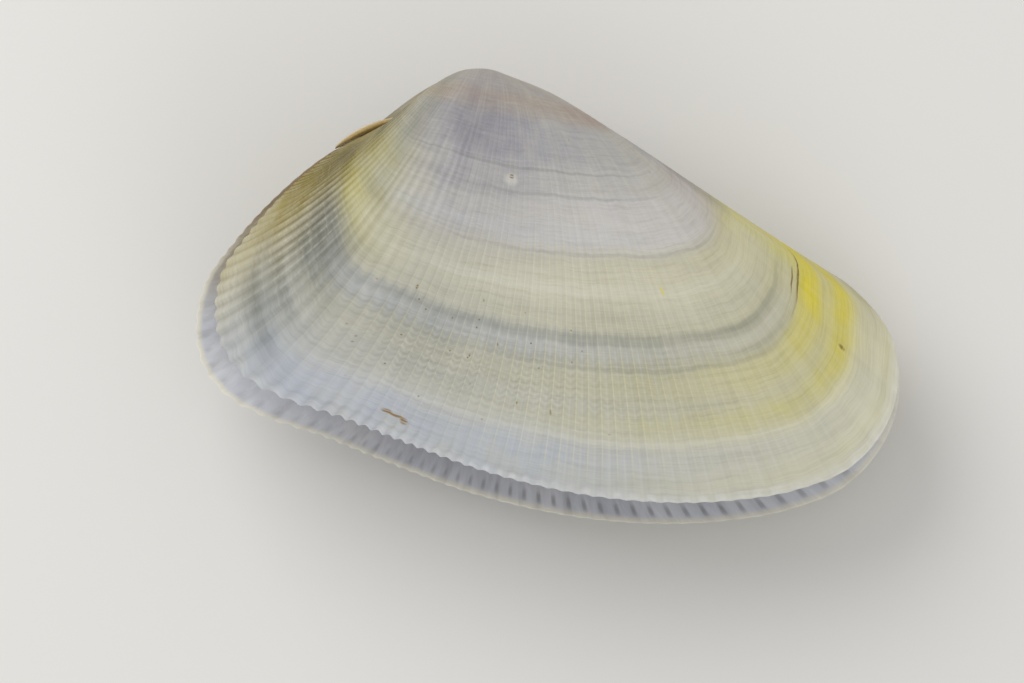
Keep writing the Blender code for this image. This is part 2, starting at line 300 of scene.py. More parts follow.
# Small marks: pigment, strength, mm along the edge, growth, half their length along the growth lines, in mm,
# and half their width across them, in growth.
MARKS = (
    ("smoke", 0.22, 25.5, 0.742, 12.5, 0.0130),
    ("smoke", 0.24, 17.5, 0.738, 4.5, 0.0080),
    ("smoke", 0.20, 23.0, 0.790, 8.0, 0.0060),
    ("smoke", 0.25, 28.5, 0.497, 13.0, 0.0050),
    ("smoke", 0.35, 29.5, 0.448, 13.5, 0.0045),
    ("violet", 0.20, 24.0, 0.600, 12.0, 0.0050),
    ("rose", 0.20, 27.0, 0.284, 13.0, 0.0120),
    ("white", 0.15, 25.0, 0.907, 13.0, 0.0060),
    ("white", 0.16, 25.0, 0.662, 12.0, 0.0160),
    ("bark", 0.95, 14.4, 0.785, 2.50, 0.0032),
    ("bark", 0.85, 14.9, 0.772, 1.00, 0.0026),
    ("bark", 0.75, 15.8, 0.884, 0.10, 0.0090),
    ("ochre", 0.95, 32.56, 0.956, 0.26, 0.0060),
    ("ochre", 0.90, 32.24, 0.957, 0.34, 0.0036),
    ("ochre", 0.90, 31.98, 0.961, 0.18, 0.0090),
    ("bark", 0.60, 27.3, 0.873, 0.05, 0.0100),
    ("bark", 0.70, 28.5, 0.867, 0.05, 0.0040),
    ("bark", 0.75, 30.4, 0.805, 0.05, 0.0045),
    ("bark", 0.90, 33.05, 0.718, 0.07, 0.0060),
    ("bark", 0.60, 30.2, 0.705, 0.05, 0.0040),
    ("bark", 0.60, 29.4, 0.774, 0.05, 0.0040),
    ("bark", 0.70, 17.4, 0.450, 0.06, 0.0040),
    ("bark", 0.60, 23.6, 0.374, 0.06, 0.0045),
    ("white", 0.32, 29.35, 0.474, 0.65, 0.0180),
    ("bark", 1.00, 29.32, 0.467, 0.22, 0.0060),
    ("lemon", 0.90, 21.5, 0.660, 0.10, 0.0120),
)
EDGE_SPAN = 50.0  # mm along the edge that a colour ramp covers
THREAD_PITCH = 0.0125  # growth from one thread to the next

FLOOR_HALF = 0.4

# Camera: the photograph's view, looking down on the near valve.
PICTURE = (1024, 683)
PIXELS_PER_MM = 34.7238
VIEW_TILT = (math.radians(-13.97), math.radians(10.06), math.radians(-9.08))
HINGE_PIXEL = (479.07, 94.34)
CAMERA_DISTANCE = 0.12

# Lights: name, direction, distance, size and power, in metres and watts.
LIGHTS = (
    ("key", (-0.60, 0.45, 0.75), 0.16, 0.14, 0.15),
    ("fill", (0.35, -0.75, 0.5), 0.18, 0.14, 0.05),
)
SKY_STRENGTH = 0.70


def outline_curve():
    """The edge as a smooth curve from the beak round to the beak: rows as in OUTLINE."""
    rows = np.array(OUTLINE + OUTLINE[:1])
    chord = np.hypot(*np.diff(rows[:, :2], axis=0).T)
    along = np.concatenate([[0.0], np.cumsum(chord)])
    slope = np.gradient(rows, along, axis=0)
    curve = []
    for i, length in enumerate(chord):
        for t in np.arange(CURVE_STEPS) / CURVE_STEPS:
            start = (1 + 2 * t) * (1 - t) ** 2 * rows[i] + t * (1 - t) ** 2 * length * slope[i]
            end = t * t * (3 - 2 * t) * rows[i + 1] + t * t * (t - 1) * length * slope[i + 1]
            curve.append(start + end)
    return np.array(curve + [rows[-1]])


CURVE = outline_curve()
CURVE_STEP = np.hypot(*np.diff(CURVE[:, :2], axis=0).T)
ALONG = np.concatenate([[0.0], np.cumsum(CURVE_STEP)])  # mm along the edge
RIBS = np.concatenate([[0.0], np.cumsum(CURVE_STEP / (0.5 * (CURVE[1:, 2] + CURVE[:-1, 2])))])
RIB_COUNT = round(RIBS[-1])


def smooth(x, low, high):
    t = np.clip((np.asarray(x, float) - low) / (high - low), 0.0, 1.0)
    return t * t * (3 - 2 * t)


def turn_at(size):
    """Angle back along the coil at which the edge had a size, against the grown one."""
    shrunk = -math.log(size)
    return shrunk / COIL_RATE * (1 - COIL_EASE * shrunk)


def size_at(turn):
    return math.exp(-(1 - math.sqrt(1 - 4 * COIL_EASE * COIL_RATE * turn)) / (2 * COIL_EASE))


def columns_at(size, per_rib, edge_teeth):
    """Where the columns stand on the edge at a size: mm along it, places, outward directions, rib heights."""
    grown = np.interp(np.arange(RIB_COUNT * per_rib) * RIBS[-1] / (RIB_COUNT * per_rib), RIBS, ALONG)
    younger = 1 - size
    along = grown - np.interp(grown, ALONG, CURVE[:, 5]) * younger * (1 - LEAN_EASE * younger)
    x, y, on_body, at_edge = (np.interp(along, ALONG, CURVE[:, k]) for k in (0, 1, 3, 4))
    height = on_body + (edge_teeth * at_edge - on_body) * smooth(size, *TALLER_FROM)
    slope_x, slope_y = np.gradient(CURVE[:, 0], ALONG), np.gradient(CURVE[:, 1], ALONG)
    tangent = np.column_stack([np.interp(along, ALONG, slope_x), np.interp(along, ALONG, slope_y)])
    tangent /= np.hypot(*tangent.T)[:, None]
    outward = np.column_stack([-tangent[:, 1], tangent[:, 0]])
    return along, np.column_stack([x, y]) * MM, outward, np.maximum(height, 0.0) * MM


def coil(places, size):
    bearing = np.arctan2(-places[:, 1], places[:, 0])
    young = YOUNG_KEPT * np.exp(-(((bearing - YOUNG_ANGLE) / YOUNG_SPREAD) ** 2)) - YOUNG_SHORTER
    return places * (size * (1 + (1 - size) * young))[:, None]


def turned(places, turn):
    return np.column_stack([places[:, 0], places[:, 1] * math.cos(turn), -places[:, 1] * math.sin(turn)])


def cusp(x):
    """The absolute value of x, rounded at the bottom, from 0 to 1."""
    rounding = CUSP_ROUNDING
    return (np.sqrt(x**2 + rounding**2) - rounding) / (math.sqrt(1 + rounding**2) - rounding)


def rib_profile(phase, along, size):
    """Height of the ribs from 0 in a groove to 1 on a crest, at phases with the crests at whole numbers."""
    apart = np.abs((phase + 0.5) % 1.0 - 0.5)
    flat = 1 - np.exp(-(((0.5 - apart) / 0.12) ** 2)) - 0.4 * apart
    flat = (flat - flat.min()) / (flat.max() - flat.min())
    keeled = (0.5 + 0.5 * np.cos(2 * np.pi * phase)) ** 1.3
    paired = smooth(along, *PAIRED_FROM)
    keeled = keeled * (1 - paired) + (0.5 + 0.5 * np.cos(4 * np.pi * phase)) * paired
    behind = smooth(along, *KEELED_FROM)
    profile = flat * (1 - behind) + keeled * behind
    at_edge = smooth(size, *SCALLOPED_FROM)
    bowls = smooth(along, *BOWLED_FROM) * (1 - smooth(along, *BOWLED_TO))
    profile = profile * (1 - at_edge * bowls) + (1 - cusp(np.sin(np.pi * phase))) * at_edge * bowls
    lobes = smooth(along, *BOWLED_TO) * at_edge
    return profile * (1 - lobes) + cusp(np.cos(np.pi * phase)) * lobes


def growth_relief(size):
    """Low steps where growth paused, and faint waves between them."""
    step = sum(weight * math.exp(-(size - at) / PAUSE_FADE) for at, weight in PAUSES if size > at)
    dip = sum(weight * math.exp(-(((size - at) / PAUSE_NOTCH) ** 2)) for at, weight in PAUSES)
    wave = 0.25 * math.sin(size * 271.0) + 0.2 * math.sin(size * 157.0 + 1.3)
    return PAUSE_STEP * (0.6 * step - 0.8 * dip + 0.4 * wave)


def outer_ring(size, per_rib, edge_teeth):
    along, places, outward, height = columns_at(size, per_rib, edge_teeth)
    phase = np.arange(RIB_COUNT * per_rib) / per_rib
    relief = height * (rib_profile(phase, along, size) - 0.5)
    relief = relief + growth_relief(size) * smooth(1 - size, 0.0, 0.01)
    return along, turned(coil(places + outward * relief[:, None], size), turn_at(size))


def inner_ring(turn, inset, per_rib, drawn_in, edge_teeth):
    """A ring of the inside: the edge's ring drawn in by the wall, and by the hinge plate near the beak."""
    size = size_at(turn)
    along, places, outward, height = columns_at(size, per_rib, edge_teeth)
    phase = np.arange(RIB_COUNT * per_rib) / per_rib
    relief = height * (rib_profile(phase, along, size) - 0.5) * max(0.0, 1 - inset / (0.6 * EDGE_WALL))
    places = coil(places + outward * relief[:, None], size)
    centre = np.array([CAVITY_CENTRE[0], -CAVITY_CENTRE[1]]) * size
    inward = centre - places
    reach = np.hypot(*inward.T)
    plate = HINGE_PLATE * size * np.exp(-((np.hypot(*places.T) / (HINGE_REACH * size)) ** 2))
    depth = inset + plate * min(1.0, inset / EDGE_WALL)
    places = places + inward * (depth / reach + drawn_in * (1 - depth / reach))[:, None]
    crest = 0.5 + 0.5 * np.cos(2 * np.pi * phase)
    pitted = smooth(along, *PITTED_FROM) * (1 - smooth(along, *PITTED_TO))
    band = math.exp(-(((inset - PIT_INSET) / PIT_WIDTH) ** 2)) if not drawn_in else 0.0
    pit = PIT_DEPTH * band * pitted * (1 - crest) ** 2
    away = np.array([0.0, math.sin(turn), math.cos(turn)])
    return along, turned(places, turn) + away * pit[:, None]


def outer_sizes():
    sizes = list(EDGE_SIZES)
    for smallest, step in SIZE_STEPS:
        while sizes[-1] > smallest:
            sizes.append(sizes[-1] - step)
    return sizes


def inner_rows():
    """Rings of the inside, from the edge inwards: turn in degrees, inset, and draw towards the middle."""
    rows = [(turn, inset * EDGE_WALL, 0.0) for turn, inset in RIM]
    for turn in np.linspace(INSIDE_FROM, INSIDE_TO, INSIDE_RINGS):
        grown = min(1.0, math.radians(turn) / WALL_GROWS_BY)
        rows.append((turn, EDGE_WALL + (BODY_WALL - EDGE_WALL) * grown, 0.0))
    for t in ROOF_RINGS:
        bend = t * math.pi / 2
        rows.append((INSIDE_TO + ROOF_TURN * math.sin(bend), BODY_WALL, 1 - math.cos(bend)))
    return rows


class Skin:
    """Closed rings of points joined by faces, with where each corner lies in the growth of the shell."""

    def __init__(self):
        self.points, self.groups, self.total = [], [], 0

    def ring(self, along, ring, size, per_rib):
        """Adds a ring. Returns its first point, and its rows of rib number, size and share of the edge."""
        phase = np.arange(len(ring) + 1) / per_rib
        share = np.append(along, ALONG[-1]) / ALONG[-1]
        self.points.append(ring)
        self.total += len(ring)
        return self.total - len(ring), np.column_stack([phase, np.full(len(phase), size), share])

    def put(self, slot, *corners):
        """Adds faces, outside or inside. Each corner is an array of points and the rows that go with them."""
        if slot == INSIDE:
            corners = corners[::-1]
        ids = np.column_stack([ids for ids, _ in corners])
        rows = np.stack([rows for _, rows in corners], axis=1)
        self.groups.append((slot, ids, rows))

    def join(self, first, second, slot):
        """Faces from one ring to the next. The second may have half the points of the first."""
        a, rows = first
        b, others = second
        n, m = len(rows) - 1, len(others) - 1
        j = np.arange(m)
        near, far = (b + j, others[:-1]), (b + (j + 1) % m, others[1:])
        if n == m:
            self.put(slot, (a + j, rows[:-1]), (a + (j + 1) % m, rows[1:]), far, near)
            return
        left = (a + 2 * j, rows[0:-1:2])
        middle = (a + 2 * j + 1, rows[1::2])
        right = (a + (2 * j + 2) % n, rows[2::2])
        self.put(slot, left, middle, near)
        self.put(slot, middle, far, near)
        self.put(slot, middle, right, far)

    def close(self, ring, slot):
        """A fan of faces from a ring, the last one added, to its middle."""
        start, rows = ring
        n = len(rows) - 1
        self.points.append(self.points[-1].mean(axis=0)[None])
        self.total += 1
        j = np.arange(n)
        middle = (np.full(n, self.total - 1), rows[:-1])
        self.put(slot, (start + j, rows[:-1]), (start + (j + 1) % n, rows[1:]), middle)


def add_object(name, data):
    item = bpy.data.objects.new(name, data)
    bpy.context.scene.collection.objects.link(item)
    return item


def build_valve(name, left):
    """One valve as a closed mesh."""
    per_rib = COLUMNS_PER_RIB
    teeth = LEFT_TEETH if left else RIGHT_TEETH
    skin = Skin()
    outer = [skin.ring(*outer_ring(size, per_rib, teeth), size, per_rib) for size in outer_sizes()]
    for first, second in zip(outer, outer[1:]):
        skin.join(first, second, OUTSIDE)
    skin.close(outer[-1], OUTSIDE)
    last = outer[0]
    for i, (turn, inset, drawn_in) in enumerate(inner_rows()):
        fine = per_rib if i < len(RIM) else per_rib // 2
        turn = math.radians(turn)
        ring = skin.ring(*inner_ring(turn, inset, fine, drawn_in, teeth), size_at(turn), fine)
        skin.join(last, ring, INSIDE)
        last = ring
    skin.close(last, INSIDE)
    return finish_valve(name, left, skin)


def finish_valve(name, left, skin):
    """Opens the valve, lays it down and makes its object."""
    points = np.concatenate(skin.points)
    if left:
        points = points * LEFT_TO_RIGHT * np.array([1.0, 1.0, -1.0])
    opening = Matrix.Rotation((0.5 if left else -0.5) * GAPE, 3, "X")
    points = points @ np.array(LYING @ opening).T + np.array(HINGE)
    low = points[:, 2] < WORN_BELOW
    points[low, 2] = 0.5 * (points[low, 2] + np.sqrt(points[low, 2] ** 2 + WORN_ROUNDING**2))

    way = 1 if left else -1
    loops = np.concatenate([ids[:, ::way].ravel() for _, ids, _ in skin.groups]).astype(np.int32)
    growth = np.concatenate([rows[:, ::way].reshape(-1, 3) for _, _, rows in skin.groups])
    sides = np.concatenate([np.full(len(ids), ids.shape[1]) for _, ids, _ in skin.groups]).astype(np.int32)
    slots = np.concatenate([np.full(len(ids), slot) for slot, ids, _ in skin.groups]).astype(np.int32)
    mesh = bpy.data.meshes.new(name)
    mesh.vertices.add(len(points))
    mesh.vertices.foreach_set("co", points.astype(np.float32).ravel())
    mesh.loops.add(len(loops))
    mesh.loops.foreach_set("vertex_index", loops)
    mesh.polygons.add(len(sides))
    mesh.polygons.foreach_set("loop_start", np.concatenate([[0], np.cumsum(sides)[:-1]]).astype(np.int32))
    mesh.polygons.foreach_set("material_index", slots)
    mesh.update(calc_edges=True)
    layer = mesh.attributes.new("growth", "FLOAT_VECTOR", "CORNER")
    layer.data.foreach_set("vector", growth.astype(np.float32).ravel())
    mesh.shade_smooth()
    ends = np.empty(2 * len(mesh.edges), np.int32)
    mesh.edges.foreach_get("vertices", ends)
    lip = (ends.reshape(-1, 2) < RIB_COUNT * COLUMNS_PER_RIB).all(axis=1)
    mesh.attributes.new("sharp_edge", "BOOLEAN", "EDGE").data.foreach_set("value", lip)
    return add_object(name, mesh)


def ligament_ring(t):
    """Points of a cross section in the hinge frame, in mm, and how far each lies along, across and up."""
    along = (LIGAMENT_END - LIGAMENT_START) / np.linalg.norm(LIGAMENT_END - LIGAMENT_START)
    up = np.array([along[1], -along[0]])
    angle = 2 * np.pi * np.arange(LIGAMENT_SIDES) / LIGAMENT_SIDES
    side, above = np.cos(angle), 0.5 + 0.5 * np.sin(angle)
    fullness = math.sin(math.pi * t) ** 0.6
    fold = 0.004 * math.sin(31.0 * t * (1 + 0.25 * t)) + 0.002 * math.sin(83.0 * t + 0.7)
    fibre = 0.006 * np.sin(19.0 * side + 2.0 * t) + 0.004 * np.sin(47.0 * side - 3.0 * t)
    crest = 1 - LIGAMENT_HOLLOW * np.exp(-((side / 0.30) ** 2))
    rise = LIGAMENT_HEIGHT * fullness * above**0.8 * crest + above * fullness * (fold + fibre)
    foot = LIGAMENT_START + (LIGAMENT_END - LIGAMENT_START) * t + up * LIGAMENT_LIFT
    points = np.column_stack([foot + rise[:, None] * up, 0.5 * LIGAMENT_WIDTH * fullness * side])
    return points, np.column_stack([np.full(LIGAMENT_SIDES, t), side, above])


def build_ligament(name):
    """A band pointed at both ends, hollowed a little along its crest, with cross folds and fine fibres."""
    sections = (np.arange(LIGAMENT_SECTIONS) + 0.35) / (LIGAMENT_SECTIONS - 0.3)
    points, rows = map(list, zip(*(ligament_ring(t) for t in sections)))
    sides, last = LIGAMENT_SIDES, LIGAMENT_SECTIONS - 1
    for section in (0, last):
        points.append(points[section].mean(axis=0)[None])
        rows.append(rows[section].mean(axis=0)[None])
    points = np.concatenate(points) * MM @ np.array(LYING).T + np.array(HINGE)
    faces = []
    for i in range(last):
        for j in range(sides):
            k = (j + 1) % sides
            faces.append((i * sides + j, i * sides + k, (i + 1) * sides + k, (i + 1) * sides + j))
    tip = LIGAMENT_SECTIONS * sides
    for j in range(sides):
        k = (j + 1) % sides
        faces.append((k, j, tip))
        faces.append((last * sides + j, last * sides + k, tip + 1))
    mesh = bpy.data.meshes.new(name)
    mesh.from_pydata(points.tolist(), [], faces)
    layer = mesh.attributes.new("growth", "FLOAT_VECTOR", "POINT")
    layer.data.foreach_set("vector", np.concatenate(rows).astype(np.float32).ravel())
    mesh.shade_smooth()
    return add_object(name, mesh)


def pigment(name):
    """Linear colour of a pigment."""
    value = np.array(PIGMENTS[name], float) / 255
    linear = np.where(value <= 0.04045, value / 12.92, ((value + 0.055) / 1.055) ** 2.4)
    return (*linear, 1.0)


class Paint:
    """A material and the means to wire its nodes."""

    def __init__(self, name):
        self.material = bpy.data.materials.new(name)
        self.material.use_nodes = True
        self.nodes = self.material.node_tree.nodes
        self.links = self.material.node_tree.links
        self.shader = self.nodes["Principled BSDF"]
        self.colour = None

    def plug(self, socket, value):
        if isinstance(value, bpy.types.NodeSocket):
            self.links.new(value, socket)
        else:
            socket.default_value = value

    def node(self, kind, *values, **settings):
        made = self.nodes.new(kind)
        for key, value in settings.items():
            setattr(made, key, value)
        for socket, value in zip(made.inputs, values):
            self.plug(socket, value)
        return made

    def math(self, operation, *values):
        return self.node("ShaderNodeMath", *values, operation=operation).outputs[0]

    def total(self, *values):
        result = values[0]
        for value in values[1:]:
            result = self.math("ADD", result, value)
        return result

    def product(self, *values):
        result = values[0]
        for value in values[1:]:
            result = self.math("MULTIPLY", result, value)
        return result

    def less(self, value, amount):
        return self.math("SUBTRACT", value, amount)

    def off_centre(self, value):
        """Distance of a value from a half."""
        return self.math("ABSOLUTE", self.less(value, 0.5))

    def rise(self, value, low, high, first=0.0, last=1.0):
        """Smooth step from first to last as a value goes from low to high."""
        values = (value, low, high, first, last)
        return self.node("ShaderNodeMapRange", *values, interpolation_type="SMOOTHSTEP").outputs[0]

    def ramp(self, value, stops, span=1.0):
        made = self.node("ShaderNodeValToRGB", value if span == 1.0 else self.product(value, 1.0 / span))
        points = made.color_ramp.elements
        while len(points) < len(stops):
            points.new(0.5)
        for point, (at, _) in zip(points, stops):
            point.position = at / span
        for point, (_, strength) in zip(points, stops):
            point.color = (strength, strength, strength, 1.0)
        return made.outputs[0]

    def place(self, x, y, z=0.0):
        return self.node("ShaderNodeCombineXYZ", x, y, z).outputs[0]

    def noise(self, x, y, z=0.0, detail=2.0, roughness=0.5):
        """Noise over two coordinates, each a value and its scale."""
        made = self.node("ShaderNodeTexNoise", noise_dimensions="3D")
        self.plug(made.inputs["Vector"], self.place(self.product(*x), self.product(*y), z))
        made.inputs["Scale"].default_value = 1.0
        made.inputs["Detail"].default_value = detail
        made.inputs["Roughness"].default_value = roughness
        return made.outputs[0]

    def mix(self, factor, first, second, blend="MIX"):
        made = self.node("ShaderNodeMix", data_type="RGBA", blend_type=blend)
        self.plug(made.inputs[0], factor)
        self.plug(made.inputs[6], first)
        self.plug(made.inputs[7], second)
        return made.outputs[2]

    def cover(self, strength, kind):
        self.colour = self.mix(strength, self.colour, pigment(kind))

    def darken(self, strength, kind="shade"):
        self.colour = self.mix(strength, self.colour, pigment(kind), "MULTIPLY")

    def mark(self, arc, growth, at, half_length, half_width):
        """1 inside an oval on the growth lines, falling to 0 at its edge."""
        offset = self.node("ShaderNodeVectorMath", self.place(arc, growth), (*at, 0.0), operation="SUBTRACT")
        reach = (half_length, half_width, 1.0)
        scaled = self.node("ShaderNodeVectorMath", offset.outputs[0], reach, operation="DIVIDE")
        distance = self.node("ShaderNodeVectorMath", scaled.outputs[0], operation="LENGTH").outputs["Value"]
        return self.rise(distance, 1.0, 0.35)

    def stored(self):
        """The three parts of the growth attribute."""
        vector = self.node("ShaderNodeAttribute", attribute_name="growth").outputs["Vector"]
        return self.node("ShaderNodeSeparateXYZ", vector).outputs

    def finish(self, roughness, relief, depth):
        bump = self.node("ShaderNodeBump")
        bump.inputs["Strength"].default_value = 1.0
        bump.inputs["Distance"].default_value = depth
        self.plug(bump.inputs["Height"], relief)
        self.plug(self.shader.inputs["Base Color"], self.colour)
        self.plug(self.shader.inputs["Roughness"], roughness)
        self.plug(self.shader.inputs["Normal"], bump.outputs[0])
        return self.material


class ValvePaint(Paint):
    """Paint laid by rib number (phase), growth (size) and mm along the edge (arc)."""

    def __init__(self, name, seed):
        super().__init__(name)
        self.seed = seed
        self.phase, self.size, share = self.stored()
        self.arc = self.product(share, float(ALONG[-1]))
        self.within = self.math("FRACT", self.phase)  # 0 and 1 on the crests, 0.5 in a groove
        self.off_groove = self.off_centre(self.within)

    def along(self, *stops):
        return self.ramp(self.arc, stops, EDGE_SPAN)

    def noise_of(self, x, y, shift=0.0, **settings):
        return self.noise(x, y, self.seed + shift, **settings)


class OutsidePaint(ValvePaint):
    """The coloured outside of a valve."""

    def __init__(self, name, seed):
        super().__init__(name, seed)
        self.line = self.growth_line()
        self.lean = self.math("POWER", self.off_groove, 0.8)
        self.patchy = self.rise(
            self.noise_of((self.arc, 0.9), (self.line, 16.0), 3.0, detail=3.0), 0.2, 0.8, 0.75, 1.2
        )
        self.deep = self.across(
            (0.15, 0.3), (0.64, 0.3), (0.72, 0.65), (0.88, 0.65), (0.92, 0.25), (1.0, 0.3)
        )
        self.fine = self.noise_of((self.arc, 0.30), (self.line, 130.0), detail=3.0, roughness=0.6)
        self.finer = self.noise_of((self.arc, 0.9), (self.line, 420.0), 2.0)
        self.rays = self.noise_of((self.phase, 1.6), (self.line, 5.0), 5.0, detail=3.0, roughness=0.6)

    def growth_line(self):
        """Growth along the real growth lines, which bend at the ends of the shell, with a slight waver."""
        front = self.rise(self.arc, 12.3, 15.3, -0.04, 0.0)
        behind = self.rise(self.arc, 35.3, 38.7, 0.0, 0.05)
        older = self.rise(self.size, 0.50, 0.66)
        bent = self.total(self.size, self.product(self.total(front, behind), older))
        past = self.math("POWER", self.math("MAXIMUM", self.less(self.arc, 39.6), 0.0), 1.9)
        bent = self.product(bent, self.less(1.0, self.product(past, 0.0125)))
        waver = self.less(self.noise_of((self.arc, 0.45), (self.size, 5.0)), 0.5)
        ripple = self.less(self.noise_of((self.arc, 2.2), (self.size, 22.0), 7.0), 0.5)
        return self.total(bent, self.product(waver, 0.014), self.product(ripple, 0.004))

    def across(self, *stops):
        return self.ramp(self.line, stops)

    def bands(self):
        """Bands of pigment, with edges that hang from rib to rib, and the dark skin along the back edge."""
        hanging = self.along((20, 0.0), (24, 1.0), (35, 1.0), (38, 0.0))
        banded = self.less(self.line, self.product(self.less(self.lean, 0.33), hanging, 0.022))
        self.colour = pigment("cream")
        for kind, by_growth, by_arc in LAYERS:
            self.cover(self.product(self.ramp(banded, by_growth), self.along(*by_arc), self.patchy), kind)
        skin = self.product(self.rise(self.size, 0.975, 0.995), self.rise(self.arc, 42.0, 44.5))
        dots = self.noise_of((self.arc, 5.0), (self.size, 30.0), 6.0)
        self.cover(self.product(skin, self.rise(dots, 0.35, 0.65, 0.25, 1.0)), "ochre")

    def streaks(self):
        """Fine growth streaks and fine rays."""
        self.darken(self.rise(self.fine, 0.55, 0.30, 0.0, 0.17))
        self.cover(self.rise(self.fine, 0.55, 0.80, 0.0, 0.13), "white")
        self.darken(self.rise(self.finer, 0.60, 0.30, 0.0, 0.12))
        self.cover(self.rise(self.rays, 0.48, 0.75, 0.0, 0.10), "white")
        self.darken(self.rise(self.rays, 0.50, 0.25, 0.0, 0.08))

    def groove_lines(self):
        """Pale lines in the grooves, painted shade beside them, and in front painted highlights on the crests
        with painted shade on one flank.
        """
        within = self.within
        pale = self.product(
            self.across((0.55, 0.1), (0.66, 0.6), (0.70, 0.8), (0.93, 0.9), (0.97, 0.2)),
            self.along(
                (13, 0.0), (17, 0.25), (22, 0.5), (25, 0.8), (28, 0.8), (31, 0.5), (36, 0.25), (38, 0.0)
            ),
        )
        pale_line = self.product(self.rise(within, 0.38, 0.47), self.rise(within, 0.56, 0.48))
        self.pale_groove = (pale_line, pale)
        self.cover(self.product(pale_line, pale, 0.50), "lime")
        front = self.product(
            self.across((0.45, 0.0), (0.58, 0.5), (0.66, 1.0), (0.95, 1.0), (1.0, 0.4)),
            self.along((12, 0.1), (17, 0.3), (20, 0.6), (26, 0.8), (29, 0.4), (32, 0.0)),
        )
        # in front: a painted highlight along the crests, and painted shade on the flank before each crest
        crest_highlight = self.math("MAXIMUM", self.rise(within, 0.90, 0.98), self.rise(within, 0.10, 0.02))
        self.cover(self.product(crest_highlight, front, 0.14), "white")
        self.darken(self.product(self.rise(within, 0.70, 0.80), self.rise(within, 0.93, 0.86), front, 0.07))
        # painted shade along one side of each groove, strongest behind
        dark = self.along(
            (15, 0.0), (20, 0.1), (34, 0.15), (37, 0.2), (38.5, 0.9), (41, 0.8), (44, 0.5), (48, 0.3)
        )
        groove_flank_shade = self.product(self.rise(within, 0.48, 0.57), self.rise(within, 0.74, 0.60))
        self.darken(self.product(groove_flank_shade, dark, self.deep, 0.40))

    def shade_grooves(self):
        """Painted shade in the grooves behind, which are twice as many beside the back edge."""
        wide = self.product(self.rise(self.within, 0.26, 0.46), self.rise(self.within, 0.74, 0.54))
        paired = self.math("FRACT", self.product(self.phase, 2.0))
        narrow = self.product(self.rise(paired, 0.20, 0.46), self.rise(paired, 0.80, 0.54))
        twice = self.rise(self.arc, *PAIRED_FROM)
        self.groove = self.total(self.product(wide, self.less(1.0, twice)), self.product(narrow, twice, 1.4))
        groove_shade_strength = self.along((28, 0.0), (34, 0.12), (37, 0.15), (38, 0.6), (39, 1.0), (45, 1.0), (48, 0.4))
        # painted shade: the grooves are darkened where shade falls in them
        self.darken(self.product(self.groove, self.product(groove_shade_strength, self.deep), 0.55), "groove")

    def crests(self):
        """Painted highlights along the crests of the ribs behind, broken into bead-like dots."""
        crest = self.rise(self.off_groove, 0.28, 0.46)
        rib = self.math("FLOOR", self.total(self.phase, 0.5))
        highlight_beads = self.noise_of((rib, 7.3), (self.line, 95.0), 9.0)
        behind = self.along((33, 0.0), (37, 0.2), (38, 0.7), (39, 0.9), (40.5, 0.5), (42, 0.1))
        beaded_highlight = self.rise(highlight_beads, 0.30, 0.70, 0.3, 1.0)
        # painted highlight: white along the rib crests
        self.cover(self.product(crest, behind, self.deep, beaded_highlight, 0.42), "white")

    def threads(self):
        """Threads that arch over each rib towards the edge."""
        arch = self.product(self.lean, 0.012)
        uneven = self.product(self.less(self.noise_of((self.arc, 0.5), (self.line, 24.0), 8.0), 0.5), 0.012)
        turns = self.less(self.total(self.line, uneven), arch)
        wave = self.math("SINE", self.product(turns, 2 * math.pi / THREAD_PITCH))
        clear = self.product(
            self.across(
                (0.20, 0.15), (0.60, 0.15), (0.75, 0.15), (0.785, 0.6), (0.82, 1.0), (0.86, 0.9),
                (0.89, 0.45), (0.93, 0.2), (1.0, 0.1),
            ),
            self.along(
                (12, 0.05), (20, 0.1), (24, 0.4), (27, 0.8), (33, 0.8), (35.5, 0.3), (38, 0.2), (42, 0.15)
            ),
            self.rise(self.noise_of((self.phase, 0.8), (self.line, 30.0), 4.0), 0.35, 0.6, 0.25, 1.0),
        )
        self.thread = (wave, clear)
        self.cover(self.product(self.rise(wave, 0.2, 1.0), clear, 0.16), "white")
        self.darken(self.product(self.rise(wave, -0.2, -1.0), clear, 0.18))

    def dirt(self):
        """Specks of dirt in the grooves, then the marks."""
        specks = self.node("ShaderNodeTexVoronoi", voronoi_dimensions="2D", feature="F1")
        self.plug(specks.inputs["Vector"], self.place(self.phase, self.product(self.line, 60.0)))
        specks.inputs["Scale"].default_value = 1.0
        chosen = self.node("ShaderNodeSeparateColor", specks.outputs["Color"]).outputs[0]
        where = self.product(
            self.along((24, 0.0), (27, 1.0), (33, 1.0), (36, 0.2)),
            self.rise(self.line, 0.68, 0.74),
            self.rise(self.line, 0.93, 0.90),
        )
        spot = self.rise(specks.outputs["Distance"], 0.13, 0.06)
        self.cover(self.product(self.product(spot, self.rise(chosen, 0.93, 0.95), where), 0.8), "bark")
        for kind, strength, at, growth, half_length, half_width in MARKS:
            mask = self.mark(self.arc, self.line, (at, growth), half_length, half_width)
            broken = self.rise(self.finer, 0.30, 0.50) if kind in ("bark", "ochre") else self.patchy
            self.cover(self.product(mask, strength, broken), kind)

    # White lumps along the edge: partly the shell's own frosty white, partly a painted highlight of the thin,
    # translucent edge.
    def frost_and_edge_highlight(self):
        bowls = self.along((11, 0.2), (16, 0.7), (30, 0.8), (36, 0.4), (40, 0.0))
        lumps = self.rise(self.noise_of((self.phase, 1.7), (self.size, 60.0), 12.0), 0.30, 0.70, 0.4, 1.0)
        near = self.rise(self.off_groove, 0.42, 0.12, 0.45, 1.0)
        edge = self.product(self.rise(self.size, 0.980, 0.998), bowls)
        self.cover(self.product(edge, lumps, near, 0.45), "edge_frost_and_highlight")


